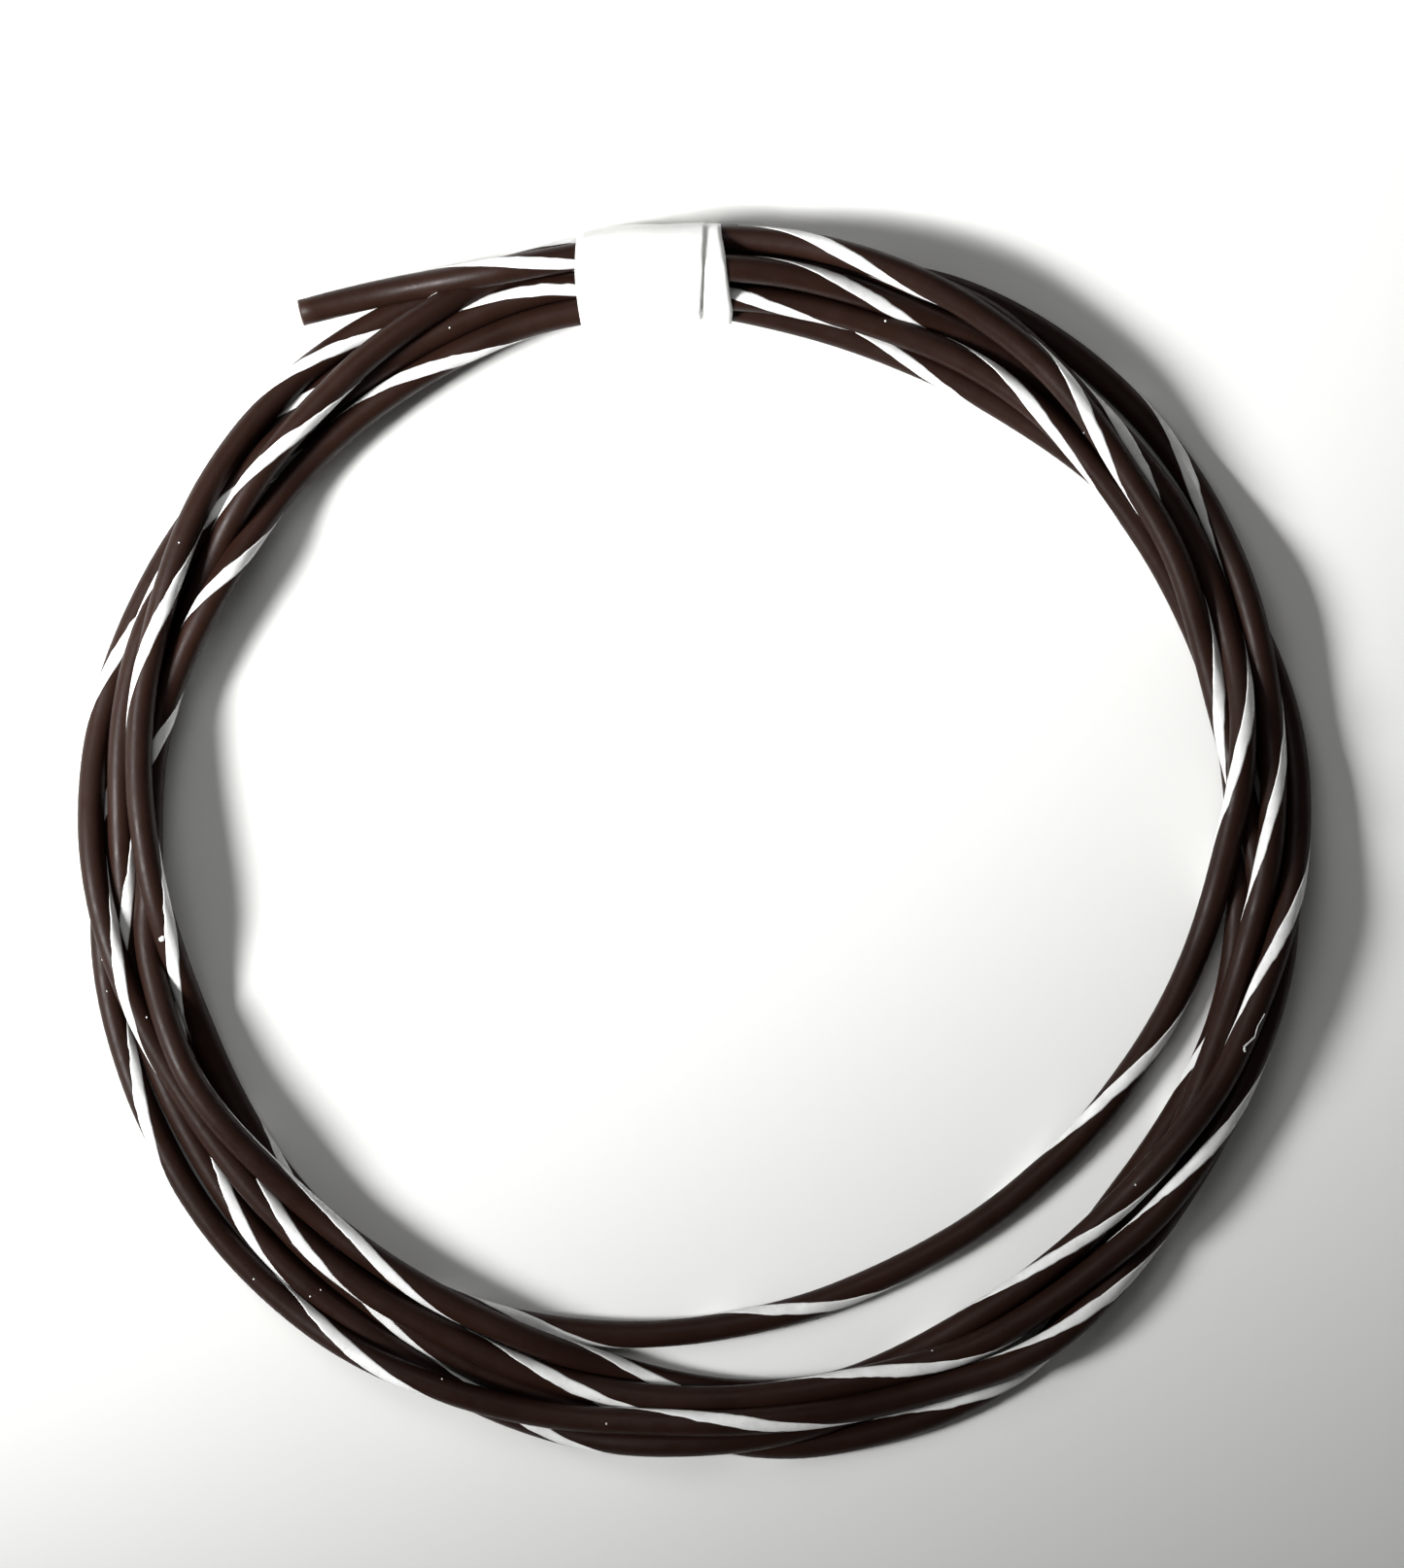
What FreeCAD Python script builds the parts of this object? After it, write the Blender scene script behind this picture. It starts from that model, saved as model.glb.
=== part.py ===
import FreeCAD, Part
import math
import os
from FreeCAD import Vector

# A hand-wound coil of striped primary wire, tied with one strip of paper tape.
# Millimetres. The coil lies on the plane Z = 0 with its middle over the origin.
# +Y points at the tape (12 o'clock), +X at 3 o'clock, and clock angles run clockwise from +Y.

# Wire: jacket, and nineteen copper strands laid 1 + 6 + 12
WIRE_OD = 3.75
STRAND_OD = 0.45
STRAND_CLEARANCE = 0.02
STRAND_LAYERS = (1, 6, 12)
STRANDS_ACROSS = 2 * len(STRAND_LAYERS) - 1
BORE_CLEARANCE = 0.06
JACKET_BORE = STRANDS_ACROSS * STRAND_OD + BORE_CLEARANCE
STRAND_RECESS = 0.15

# Bundle of turns: clock angle, inner radius, outer radius, height
BUNDLE_STATIONS = [
    (0, 71.8, 85.3, 11.1),
    (15, 71.4, 85.0, 9.6),
    (30, 71.8, 86.4, 10.1),
    (45, 73.2, 87.1, 8.9),
    (60, 74.9, 85.8, 7.6),
    (75, 73.3, 84.6, 7.5),
    (90, 71.8, 84.7, 7.4),
    (105, 74.0, 84.4, 7.5),
    (120, 75.7, 84.3, 7.9),
    (135, 75.3, 85.4, 7.5),
    (150, 75.2, 88.0, 7.6),
    (165, 76.0, 87.8, 9.6),
    (180, 74.2, 84.6, 7.6),
    (195, 71.2, 84.8, 7.3),
    (210, 70.4, 85.6, 7.5),
    (225, 71.2, 86.8, 7.5),
    (240, 71.6, 86.2, 9.4),
    (255, 71.7, 84.6, 8.6),
    (270, 73.4, 84.4, 10.8),
    (285, 73.6, 84.8, 9.9),
    (300, 72.9, 83.6, 10.7),
    (315, 73.3, 84.8, 10.8),
    (330, 73.8, 84.8, 8.0),
    (345, 74.4, 83.9, 7.2),
]
FLANK_HEIGHT = 0.45 * WIRE_OD
FOOT_INSET = 0.30 * WIRE_OD
CROWN_INSET = 0.35 * WIRE_OD

# One slack turn stands off inside the bundle: clock angle and radius of its route's points
SLACK_ROUTE = [
    (89, 74.6),
    (98, 72.4),
    (108, 70.2),
    (120, 67.6),
    (134, 65.8),
    (149, 65.0),
    (164, 65.6),
    (177, 67.4),
    (188, 69.6),
    (197, 72.0),
    (204, 74.4),
]

# Free end: points of its route, from the cut end to inside the tape
FREE_END_ROUTE = [
    (-54.3, 72.8, 1.98),
    (-46.2, 74.9, 2.18),
    (-38.0, 76.4, 4.55),
    (-29.6, 77.7, 8.35),
    (-21.8, 79.1, 9.45),
    (-13.8, 80.6, 9.10),
    (-6.0, 82.2, 7.90),
    (1.6, 82.8, 6.20),
]

# Tail: a short straight stub beyond the tape, low on the outside of the bundle
TAIL_ROUTE = [(-3.4, 82.5, 2.20), (1.4, 83.1, 2.25), (6.1, 83.1, 2.15)]

# Paper tape: x, inner y, outer y and top at its left and right ends; the laps' side edges; thickness
TAPE_LEFT = (-16.2, 71.5, 83.2, 11.5)
TAPE_RIGHT = (4.6, 71.4, 85.6, 11.5)
INNER_LAP_LEFT = -14.2
OUTER_LAP_RIGHT = 1.6
TAPE_THICKNESS = 0.15
TAPE_CORNER = 3.0

RADIUS_SHARE = 0.45


def polar(clock, radius, height=0.0):
    """Point at a clock angle, in degrees clockwise from +Y."""
    turn = math.radians(clock)
    return Vector(radius * math.sin(turn), radius * math.cos(turn), height)


def loop_edge(points):
    """Closed smooth curve through points round the coil."""
    curve = Part.BSplineCurve()
    curve.interpolate(Points=points, PeriodicFlag=True)
    return curve.toShape()


def bundle_solid():
    """Closed ring with the bundle's outer shape: flat foot, rounded flanks, flat crown."""
    rails = []
    corners = [
        (1, -FOOT_INSET, 0, 0.0),
        (1, 0.0, 0, FLANK_HEIGHT),
        (1, 0.0, 1, -FLANK_HEIGHT),
        (1, -CROWN_INSET, 1, 0.0),
        (0, CROWN_INSET, 1, 0.0),
        (0, 0.0, 1, -FLANK_HEIGHT),
        (0, 0.0, 0, FLANK_HEIGHT),
        (0, FOOT_INSET, 0, 0.0),
    ]
    for outside, inset, from_top, lift in corners:
        points = []
        for clock, inner, outer, top in BUNDLE_STATIONS:
            radius = (outer if outside else inner) + inset
            height = (top if from_top else 0.0) + lift
            points.append(polar(clock, radius, height))
        rails.append(loop_edge(points))
    faces = [Part.makeRuledSurface(first, second) for first, second in zip(rails, rails[1:])]
    foot = Part.Face(Part.Wire([rails[0]])).cut(Part.Face(Part.Wire([rails[-1]])))
    shell = Part.makeShell(faces + foot.Faces)
    shell.sewShape()
    solid = Part.makeSolid(shell)
    if solid.Volume < 0:
        solid.reverse()
    return solid


def route_path(points):
    """Straight runs joined by tangent arcs, as large as the runs allow."""
    edges = []
    radii = []
    start = points[0]
    for before, corner, after in zip(points, points[1:], points[2:]):
        into = (corner - before).normalize()
        out = (after - corner).normalize()
        turn = into.getAngle(out)
        setback = RADIUS_SHARE * min((corner - before).Length, (after - corner).Length)
        radii.append(setback / math.tan(turn / 2))
        arc_start = corner - into * setback
        arc_end = corner + out * setback
        reach = (out - into).normalize()
        middle = corner + reach * radii[-1] * (1 / math.cos(turn / 2) - 1)
        edges.append(Part.LineSegment(start, arc_start).toShape())
        edges.append(Part.Arc(arc_start, middle, arc_end).toShape())
        start = arc_end
    edges.append(Part.LineSegment(start, points[-1]).toShape())
    return Part.Wire(edges), radii


def swept_rod(path, radius, offset=Vector(0, 0, 0)):
    """Round rod along a path, its centre moved sideways by offset at the path's start."""
    first = path.OrderedEdges[0]
    along = first.tangentAt(first.FirstParameter)
    centre = first.valueAt(first.FirstParameter) + offset
    section = Part.Wire([Part.Circle(centre, along, radius).toShape()])
    return path.makePipeShell([section], True, False)


def cross_axes(path):
    """Two directions square to the path at its start."""
    first = path.OrderedEdges[0]
    along = first.tangentAt(first.FirstParameter)
    side = along.cross(Vector(0, 0, 1)).normalize()
    return side, side.cross(along).normalize()


def strand_centres():
    """Sideways places of the strands: a core and rings of six and twelve."""
    pitch = STRAND_OD + STRAND_CLEARANCE / 2
    centres = []
    for ring, count in enumerate(STRAND_LAYERS):
        for index in range(count):
            turn = 2 * math.pi * (index + 0.5 * (ring % 2)) / count
            centres.append((ring * pitch * math.cos(turn), ring * pitch * math.sin(turn)))
    return centres


def strands_along(path):
    """The strands as separate rods along a path."""
    side, up = cross_axes(path)
    radius = (STRAND_OD - STRAND_CLEARANCE) / 2
    return [swept_rod(path, radius, side * x + up * y) for x, y in strand_centres()]


def shortened(points, amount):
    """The same route, starting a little later along its first run."""
    first = points[0] + (points[1] - points[0]).normalize() * amount
    return [first] + points[1:]


def jacketed_end(points):
    """Outer rod, hollow jacket and strands of a cut end."""
    path, radii = route_path(points)
    rod = swept_rod(path, WIRE_OD / 2)
    jacket = rod.cut(swept_rod(path, JACKET_BORE / 2))
    inner_path, _ = route_path(shortened(points, STRAND_RECESS))
    return rod, jacket, strands_along(inner_path), path, radii


def tape_section(x, inset):
    """Rounded rectangle of the tape across the bundle at x, moved in by inset."""
    share = (x - TAPE_LEFT[0]) / (TAPE_RIGHT[0] - TAPE_LEFT[0])
    y_inner, y_outer, top = [a + (b - a) * share for a, b in zip(TAPE_LEFT[1:], TAPE_RIGHT[1:])]
    low_y = y_inner + inset
    high_y = y_outer - inset
    low_z = inset
    high_z = top - inset
    corner = TAPE_CORNER - inset
    sharp = corner * (1 - math.sqrt(0.5))
    spots = [
        (low_y + corner, low_z, high_y - corner, low_z, high_y - sharp, low_z + sharp),
        (high_y, low_z + corner, high_y, high_z - corner, high_y - sharp, high_z - sharp),
        (high_y - corner, high_z, low_y + corner, high_z, low_y + sharp, high_z - sharp),
        (low_y, high_z - corner, low_y, low_z + corner, low_y + sharp, low_z + sharp),
    ]
    edges = []
    for index, (y0, z0, y1, z1, bend_y, bend_z) in enumerate(spots):
        next_y, next_z = spots[(index + 1) % 4][:2]
        flat_end = Vector(x, y1, z1)
        edges.append(Part.LineSegment(Vector(x, y0, z0), flat_end).toShape())
        edges.append(Part.Arc(flat_end, Vector(x, bend_y, bend_z), Vector(x, next_y, next_z)).toShape())
    return Part.Wire(edges)


def tape_block(left, right, inset):
    """Solid inside the tape's outer surface between two side edges, moved in by inset."""
    return Part.makeLoft([tape_section(left, inset), tape_section(right, inset)], True, True)


def tape_and_filling():
    """The tape strip, its outer lap set a little to the left, and the solid that it holds."""
    left = TAPE_LEFT[0]
    right = TAPE_RIGHT[0]
    filling = tape_block(left, INNER_LAP_LEFT, TAPE_THICKNESS)
    filling = filling.fuse(tape_block(INNER_LAP_LEFT, right, 2 * TAPE_THICKNESS))
    outer_lap = tape_block(left, OUTER_LAP_RIGHT, 0.0)
    inner_lap = tape_block(INNER_LAP_LEFT, right, TAPE_THICKNESS)
    return outer_lap.fuse(inner_lap).cut(filling), filling


def tied_bundle(bundle, filling):
    """The bundle, pressed to the tape's inside where the tape holds it."""
    box = filling.BoundBox
    size = box.XMax - box.XMin
    gate = Part.makeBox(size, 2 * size, size, Vector(box.XMin, box.YMin - size / 2, -size / 2))
    return bundle.cut(gate).fuse(filling)


def largest_solid(shape):
    """The biggest solid that a cut has left."""
    return max(shape.Solids, key=lambda solid: solid.Volume)


def save(name, shape):
    """Write one sub-part and print its facts."""
    shape.exportStep("parts/" + name + ".step")
    box = shape.BoundBox
    print(name, "valid", shape.isValid(), "solids", len(shape.Solids), "volume", round(shape.Volume, 2),
          "box", [round(v, 2) for v in (box.XMin, box.YMin, box.ZMin, box.XMax, box.YMax, box.ZMax)])


def main():
    os.makedirs("parts", exist_ok=True)
    section = math.pi * WIRE_OD ** 2 / 4

    end_points = [Vector(*point) for point in FREE_END_ROUTE]
    end_rod, end_jacket, end_strands, end_path, end_radii = jacketed_end(end_points)
    print("free end radii", [round(radius, 1) for radius in end_radii])
    print("free end length", round(end_path.Length, 1), "volume ratio", end_rod.Volume / (section * end_path.Length))

    tail_points = [Vector(*point) for point in reversed(TAIL_ROUTE)]
    tail_rod, tail_jacket, tail_strands, _, _ = jacketed_end(tail_points)

    slack_points = [polar(clock, radius, WIRE_OD / 2) for clock, radius in SLACK_ROUTE]
    slack_path, slack_radii = route_path(slack_points)
    slack_rod = swept_rod(slack_path, WIRE_OD / 2)
    print("slack turn radii", [round(radius, 1) for radius in slack_radii])
    print("slack turn length", round(slack_path.Length, 1), "volume ratio",
          slack_rod.Volume / (section * slack_path.Length))

    tape, filling = tape_and_filling()
    bundle = tied_bundle(bundle_solid(), filling).cut(end_rod).cut(tail_rod)
    slack_turn = largest_solid(slack_rod.cut(bundle))

    save("coiled_turns", bundle)
    save("slack_turn", slack_turn)
    save("free_end_jacket", end_jacket)
    for number, strand in enumerate(end_strands, 1):
        save("free_end_strand_%02d" % number, strand)
    save("tail_jacket", tail_jacket)
    save("tail_strands", Part.makeCompound(tail_strands))
    save("paper_tape", tape)


main()
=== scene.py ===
import math
import bpy
import numpy as np
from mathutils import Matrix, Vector
from mathutils.bvhtree import BVHTree


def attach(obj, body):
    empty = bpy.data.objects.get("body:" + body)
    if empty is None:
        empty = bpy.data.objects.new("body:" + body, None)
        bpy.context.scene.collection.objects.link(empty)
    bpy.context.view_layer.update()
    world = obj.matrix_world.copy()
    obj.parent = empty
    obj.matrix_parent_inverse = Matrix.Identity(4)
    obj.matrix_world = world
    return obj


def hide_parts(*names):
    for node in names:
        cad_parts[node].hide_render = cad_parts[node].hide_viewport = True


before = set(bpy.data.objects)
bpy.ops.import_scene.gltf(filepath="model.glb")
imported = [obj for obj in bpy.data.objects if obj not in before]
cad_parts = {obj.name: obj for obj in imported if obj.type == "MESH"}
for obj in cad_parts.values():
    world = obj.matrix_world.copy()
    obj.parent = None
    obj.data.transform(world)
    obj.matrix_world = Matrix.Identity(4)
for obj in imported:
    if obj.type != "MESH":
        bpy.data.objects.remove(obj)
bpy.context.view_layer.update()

# A hand-wound coil of striped primary wire, tied at 12 o'clock with paper tape.
# Metres, on the plane z = 0. Clock angles run clockwise from +Y, and a turn of wire runs clockwise.
# "height" below is above the plane; "lane" is the radius at which a turn runs at a clock angle.

MM = 0.001
WIRE_D = 3.75 * MM
WIRE_R = WIRE_D / 2

# ---------------------------------------------------------------- camera
CAMERA_HEIGHT = 1.2
CAMERA_X, CAMERA_Y = 1.14 * MM, 7.64 * MM
FRAME_TALL = 216.3 * MM          # how much of the plane the long side shows, at the wire's mean height
WIRE_MEAN_HEIGHT = 5 * MM
SENSOR = 36.0

camera_data = bpy.data.cameras.new("camera")
camera_data.sensor_width = SENSOR
camera_data.lens = SENSOR * (CAMERA_HEIGHT - WIRE_MEAN_HEIGHT) / FRAME_TALL
camera_data.clip_start, camera_data.clip_end = 0.05, 20
camera = bpy.data.objects.new("camera", camera_data)
camera.location = (CAMERA_X, CAMERA_Y, CAMERA_HEIGHT)
bpy.context.scene.collection.objects.link(camera)
bpy.context.scene.camera = camera

# ---------------------------------------------------------------- the wire's route
# Free end: from the cut end, over the bundle, to inside the tape (part.py's route, in metres)
FREE_END_ROUTE = [
    (-0.0543, 0.0728, 0.00198),
    (-0.0462, 0.0749, 0.00218),
    (-0.0380, 0.0764, 0.00455),
    (-0.0296, 0.0777, 0.00835),
    (-0.0218, 0.0791, 0.00945),
    (-0.0138, 0.0806, 0.00910),
    (-0.0060, 0.0822, 0.00790),
    (0.0016, 0.0828, 0.00620),
]
# Tail: a short stub beyond the tape, low on the outside of the bundle (part.py's route, in metres)
TAIL_ROUTE = [(-0.0034, 0.0825, 0.00220), (0.0014, 0.0831, 0.00225), (0.0061, 0.0831, 0.00215)]

# The six turns, in the order the wire runs: (clock angle, lane in mm)
TURNS = [
    [
        (5, 82.9), (12, 83.1), (20, 82.9), (25, 82.7), (30, 82.1), (35, 81.5), (40, 80.4), (45, 79.2),
        (50, 78.1), (55, 77.5), (60, 76.9), (65, 76.0), (70, 75.3), (75, 75.0), (80, 75.2), (85, 75.8),
        (90, 77.1), (95, 78.5), (100, 80.0), (105, 81.3), (110, 82.1), (115, 82.5), (120, 82.7),
        (125, 82.7), (130, 82.9), (134, 83.1), (138, 83.8), (142, 84.4), (146, 84.6), (150, 83.8),
        (154, 82.5), (157, 81.9), (160, 81.2), (165, 80.7), (170, 80.4), (175, 80.3), (180, 80.3),
        (185, 80.5), (190, 81.2), (195, 81.9), (200, 82.5), (204, 82.9), (209, 83.6), (215, 84.3),
        (220, 84.7), (225, 85.0), (232, 85.0), (237, 84.7), (240, 84.4), (244, 84.2), (248, 83.8),
        (252, 83.3), (256, 82.8), (260, 82.1), (262.5, 81.7), (265, 81.2), (268, 80.7), (272, 80.1),
        (278, 79.6), (285, 79.1), (292, 78.8), (300, 79.0), (308, 78.8), (316, 78.2), (322, 77.6),
        (330, 76.9), (338, 76.5), (345, 76.5), (352, 77.4),
    ],
    [
        (0, 79.2), (5, 79.3), (20, 79.3), (25, 79.5), (30, 79.6), (35, 79.7), (40, 79.9), (45, 79.9),
        (50, 80.0), (55, 80.1), (60, 80.4), (65, 81.5), (70, 82.3), (75, 82.7), (80, 82.9), (88, 82.9),
        (92, 82.7), (95, 82.4), (100, 81.7), (105, 80.9), (110, 80.4), (115, 79.9), (120, 78.9),
        (125, 78.0), (130, 77.4), (136, 77.1), (147, 77.1), (152, 77.2), (155, 77.5), (160, 77.9),
        (165, 78.3), (171, 77.7), (175, 77.1), (179, 76.2), (183, 75.4), (186, 74.6), (190, 73.8),
        (193, 73.3), (196, 72.9), (201, 72.5), (210, 72.5), (215, 72.8), (220, 73.2), (225, 73.8),
        (229, 74.4), (233, 75.0), (236, 75.6), (240, 76.5), (243.5, 77.1), (247, 77.5), (250, 77.3),
        (253, 77.1), (258, 77.1), (262, 76.5), (266, 75.4), (268, 75.3), (272, 75.4), (278, 75.8),
        (283, 75.7), (288, 75.4), (292, 75.0), (297, 74.8), (302, 74.5), (307, 74.8), (312, 75.0),
        (318, 75.2), (325, 75.3), (333, 75.7), (340, 76.1), (352, 76.1),
    ],
    [
        (0, 76.0), (5, 75.8), (20, 75.8), (30, 76.1), (35, 76.2), (40, 76.1), (45, 75.8), (50, 75.6),
        (60, 75.8), (75, 76.1), (85, 76.3), (90, 76.7), (95, 77.2), (100, 77.6), (105, 77.9),
        (110, 78.0), (115, 77.9), (120, 77.8), (125, 77.8), (130, 77.9), (135, 78.1), (140, 78.7),
        (145, 79.1), (150, 79.6), (154, 80.4), (157, 80.9), (160, 81.3), (163, 81.7), (168, 82.3),
        (173, 82.5), (180, 82.5), (187, 82.8), (191, 83.1), (196, 82.9), (200, 82.7), (206, 82.0),
        (211, 81.3), (216, 80.8), (222, 80.7), (229, 80.8), (235, 80.4), (240, 80.1), (245, 80.0),
        (250, 79.9), (255, 79.6), (260, 79.2), (266, 78.8), (270, 78.9), (275, 79.3), (280, 80.0),
        (285, 80.5), (290, 80.8), (297, 80.7), (305, 80.1), (312, 79.4), (320, 78.9), (330, 78.6),
        (340, 78.8), (345, 78.9), (350, 78.3), (355, 76.6),
    ],
    [
        (0, 75.0), (5, 74.1), (15, 73.3), (20, 73.2), (25, 73.2), (30, 73.6), (35, 73.8), (40, 74.4),
        (45, 75.2), (50, 76.0), (55, 76.5), (60, 77.5), (65, 78.4), (70, 79.3), (75, 80.4), (80, 80.9),
        (90, 81.5), (95, 81.9), (100, 82.3), (105, 82.5), (112, 82.5), (119, 82.4), (125, 82.1),
        (130, 81.9), (135, 81.3), (140, 80.9), (147, 80.6), (150, 80.5), (154, 80.0), (158, 79.6),
        (162, 79.1), (166, 78.7), (168, 78.5), (175, 78.1), (180, 77.9), (185, 77.7), (192, 77.3),
        (200, 77.1), (205, 76.6), (215, 76.8), (220, 76.8), (225, 77.1), (229, 77.2), (235, 77.3),
        (240, 77.7), (245, 78.4), (250, 79.3), (255, 80.4), (259, 81.2), (262.5, 81.7), (265, 82.1),
        (267.5, 82.4), (271, 82.7), (275, 82.9), (279, 83.1), (286, 82.9), (292, 82.4), (300, 81.6),
        (308, 80.8), (315, 80.4), (325, 80.0), (335, 79.2), (342, 78.8), (348, 78.9), (353, 79.6),
    ],
    [
        (0, 80.5), (5, 81.1), (12, 81.7), (20, 82.8), (25, 84.0), (30, 84.6), (35, 85.0), (40, 85.2),
        (45, 85.2), (50, 85.0), (55, 84.6), (60, 83.9), (65, 83.2), (70, 82.4), (75, 81.6), (80, 80.8),
        (85, 80.0), (90, 79.2), (95, 78.5), (100, 77.7), (105, 77.4), (110, 77.3), (115, 77.6),
        (120, 78.3), (125, 79.1), (130, 80.1), (135, 81.6), (138, 82.8), (142, 84.4), (145, 85.4),
        (148, 85.9), (152, 86.2), (156, 86.2), (160, 86.0), (164, 85.6), (168, 85.2), (172, 84.6),
        (175, 83.9), (178, 83.1), (183, 82.3), (190, 81.1), (197, 80.1), (204, 79.3), (210, 79.1),
        (220, 79.1), (226, 78.8), (232, 78.3), (237, 77.7), (243, 77.5), (250, 77.1), (258, 76.6),
        (265, 76.4), (272, 76.6), (285, 76.6), (295, 76.9), (299, 77.2), (303, 77.7), (307, 78.3),
        (313, 78.8), (319, 79.3), (321, 79.6), (325, 80.3), (328, 80.7), (333, 81.5), (336, 82.0),
        (340, 82.4), (344, 82.3), (348, 81.6), (352, 80.8),
    ],
    [
        (0, 79.3), (5, 79.6), (10, 80.4), (15, 81.3), (20, 82.3), (25, 82.9), (30, 83.1), (35, 81.9),
        (40, 80.8), (45, 80.5), (50, 80.5), (55, 80.4), (60, 80.1), (65, 79.6), (70, 78.5), (75, 77.7),
        (80, 76.5), (85, 75.2), (90, 73.7), (95, 72.6), (100, 71.7), (105, 70.8), (110, 69.9),
        (115, 69.0), (120, 68.2), (125, 67.7), (130, 67.1), (135, 66.6), (140, 66.3), (145, 66.1),
        (150, 65.9), (155, 65.9), (160, 66.1), (165, 66.5), (170, 66.9), (175, 67.4), (180, 68.1),
        (185, 68.9), (190, 69.7), (195, 70.6), (201, 71.6), (207, 72.5), (215, 73.3), (222, 73.7),
        (229, 73.8), (235, 73.6), (245, 73.3), (250, 73.3), (255, 73.6), (260, 74.1), (264, 74.8),
        (268, 75.3), (272, 76.0), (275, 76.6), (279, 77.3), (281, 77.7), (287, 78.7), (290, 79.1),
        (293, 79.6), (297, 80.4), (299, 80.8), (302, 81.3), (305, 81.9), (310, 82.5), (315, 82.9),
        (320, 83.1), (330, 83.1), (336, 82.8), (342, 82.3), (348, 82.0), (350, 82.3), (354, 82.7),
        (358, 83.1), (364.5, 83.3),
    ],
]

# Which turn lies over which: (clock angle from which it holds, rank), higher ranks on top
RANKS = [
    [(0, 6), (65, 5), (80, 0.8), (286, 1.1), (354, 5)],
    [(0, 5), (29, 1.5), (97, 6), (134, 0.9), (210, 6), (352, 4)],
    [(0, 4), (69, 0.5), (245, 0.9), (270, 1.2), (343, 5.5), (354, 1)],
    [(0, 1), (352, 2)],
    [(0, 2), (117, 0.65), (138, 0.3), (240, 0.85), (288, 4), (312, 8), (343, 3)],
    [(0, 3), (65, 7), (100, 0.2), (250, 7), (343, 2.5)],
]
FREE_END_RANK = 9
TAPED_END_RANK = 6.5
TAIL_RANK = 2.5

# Clock angles at which the stripe's middle is on top of the wire, turn by turn
STRIPE_ON_TOP_FREE_END = [-15]
STRIPE_ON_TOP = [
    [14.5, 43, 75, 107, 140, 175, 214, 245, 277, 309, 342],
    [17, 44.5, 72, 99.5, 136.5, 184, 216.5, 279.5, 299, 330.5],
    [5.5, 38, 85, 110, 137, 166.5, 196, 231.5, 262.5, 304, 345],
    [23, 55, 88, 121.5, 158.5, 193.5, 225.5, 257, 289, 320, 350],
    [24, 54, 87, 120, 153, 183.5, 215, 247, 280, 313, 345],
    [18, 49, 79.7, 119, 167, 197, 228, 258, 292, 323, 354],
]
STRIPE_PITCH_AT_ENDS = 31

STATION = 5                       # degrees between the stations of the lay
SETTLE_ROUNDS = 900
SMOOTH_ASIDE = 0.9                # how readily a turn pushed aside takes its neighbours along
SIDE_BY_SIDE = 0.80               # turns further apart than this share of a diameter push sideways
SINK_STEP = 0.02                  # how far a turn sinks in each round, in diameters
STIFFNESS = 0.25                  # share of its bending that a turn gives up in each round
KEPT_ASIDE = 0.94                 # share of its sideways displacement that it keeps in each round
CONTACT_PASSES = 4
LIFT_SHARE = 0.45                 # share of an overlap that lifts one turn and presses the other down
SLIP_SHARE = 0.175                # share of it that slides stacked turns apart
SLIP_SLOPE = 1.5
SLIP_MOST = 0.12 * MM
PUSH_SHARE = 0.4                  # share of it that pushes turns side by side apart
TAPE_LIFT = 0.3 * MM              # two laps of tape lie under the wire at 12 o'clock
TAPE_CLOCK, TAPE_HALF_CLOCK = -4, 10


def smooth_through(at, known_at, known):
    """Smooth curve through known values (cubic, with the mean slope at each of them)."""
    slopes = np.gradient(known, known_at)
    spot = np.clip(np.searchsorted(known_at, at) - 1, 0, len(known_at) - 2)
    step = known_at[spot + 1] - known_at[spot]
    t = (at - known_at[spot]) / step
    return ((2 * t ** 3 - 3 * t ** 2 + 1) * known[spot] + (t ** 3 - 2 * t ** 2 + t) * step * slopes[spot]
            + (-2 * t ** 3 + 3 * t ** 2) * known[spot + 1] + (t ** 3 - t ** 2) * step * slopes[spot + 1])


def clock_and_radius(route):
    """Clock angle in degrees and radius of a route's points."""
    route = np.array(route)
    return np.degrees(np.arctan2(route[:, 0], route[:, 1])), np.hypot(route[:, 0], route[:, 1])


def rank_at(angle):
    """Rank of the wire at an angle counted on through all the turns."""
    if angle < 0:
        return FREE_END_RANK if angle < -6 else TAPED_END_RANK
    turn, clock = divmod(angle, 360)
    if turn >= len(RANKS):
        return TAIL_RANK
    return [rank for start, rank in RANKS[int(turn)] if clock >= start][-1]


def second_difference(values):
    """How far the mean of a value's two neighbours is from it."""
    second = np.zeros_like(values)
    second[1:-1] = 0.5 * (values[:-2] + values[2:]) - values[1:-1]
    return second


def bending(values):
    """Fourth difference, which a stiff wire keeps small."""
    second = second_difference(values)
    fourth = np.zeros_like(values)
    fourth[2:-2] = 0.5 * (second[1:-3] + second[3:-1]) - second[2:-2]
    return fourth


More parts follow.
